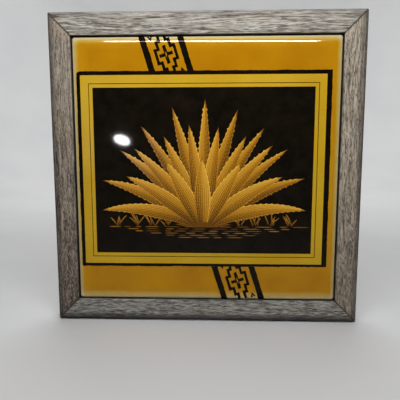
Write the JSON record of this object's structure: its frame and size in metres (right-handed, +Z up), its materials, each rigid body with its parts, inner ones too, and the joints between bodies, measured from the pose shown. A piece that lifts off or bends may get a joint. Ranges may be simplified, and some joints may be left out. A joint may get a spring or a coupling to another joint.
{
  "type": "framed picture tile",
  "caption": "Square wall plaque: a glossy cushion-edged ceramic tile with a gold-bordered picture panel, in a mitred weathered oak frame with a backing board and sawtooth hanger.",
  "frame": {"origin": "middle notch of the sawtooth hanger on the back of the top rail, where a wall nail carries the plaque", "axes": "+Z up, +Y back into the wall, so the picture faces -Y, and +X to the right as seen from the front"},
  "size_m": [0.2422, 0.0221, 0.2422],
  "materials": {
    "oak": "weathered grey, open grain",
    "glazed_tile": "high gloss amber glaze",
    "foil_print": "gold foil with black print, gloss",
    "hardboard": "matt hardboard",
    "adhesive": "set adhesive",
    "steel": "zinc plated",
    "brass": "brass plated steel"
  },
  "bodies": {
    "root": {"top_rail": "oak", "bottom_rail": "oak", "left_stile": "oak", "right_stile": "oak", "ceramic_tile": "glazed_tile", "picture_panel": "foil_print", "backing_board": "hardboard", "adhesive_dab_1": "adhesive", "adhesive_dab_2": "adhesive", "adhesive_dab_3": "adhesive", "adhesive_dab_4": "adhesive", "adhesive_dab_5": "adhesive", "v_nail_top_left_1": "steel", "v_nail_top_left_2": "steel", "v_nail_top_right_1": "steel", "v_nail_top_right_2": "steel", "v_nail_bottom_left_1": "steel", "v_nail_bottom_left_2": "steel", "v_nail_bottom_right_1": "steel", "v_nail_bottom_right_2": "steel", "framers_point_top_rail_1": "steel", "framers_point_top_rail_2": "steel", "framers_point_bottom_rail_1": "steel", "framers_point_bottom_rail_2": "steel", "framers_point_left_stile_1": "steel", "framers_point_left_stile_2": "steel", "framers_point_right_stile_1": "steel", "framers_point_right_stile_2": "steel", "sawtooth_hanger": "brass", "hanger_nail_left": "brass", "hanger_nail_right": "brass"}
  },
  "joints": []
}
